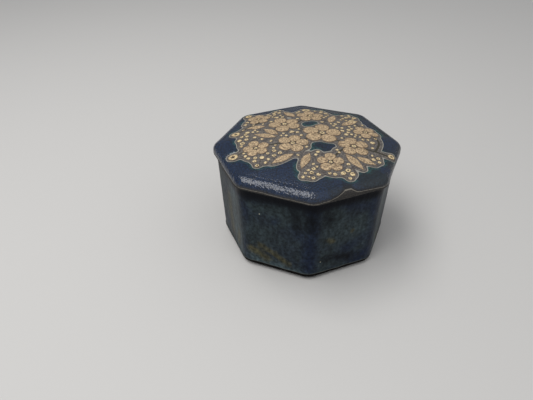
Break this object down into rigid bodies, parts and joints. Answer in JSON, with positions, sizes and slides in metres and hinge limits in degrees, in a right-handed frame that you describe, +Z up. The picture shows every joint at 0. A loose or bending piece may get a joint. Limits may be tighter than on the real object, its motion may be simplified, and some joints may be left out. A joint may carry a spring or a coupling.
{
  "type": "covered pottery box",
  "caption": "Low octagonal stoneware box with softly rounded corners and a shallow domed lid that lifts off, kept in place by a flange inside the rim.",
  "frame": {"origin": "middle of the foot ring's lower face, on the surface that the box stands on", "axes": "+Z up through the middle of the lid, and one corner of the octagon points along -Y"},
  "size_m": [0.112, 0.112, 0.0676],
  "materials": {
    "body_glaze": "semi-gloss blue-black stoneware glaze",
    "lid_glaze": "semi-gloss navy glaze with matt buff slip motifs"
  },
  "bodies": {
    "body": {"box_body": "body_glaze"},
    "lid": {"lid": "lid_glaze"}
  },
  "joints": [
    {"name": "lid_lift", "type": "slide", "parent": "body", "child": "lid", "axis": [0, 0, 1], "range_m": [0, 0.06]}
  ]
}
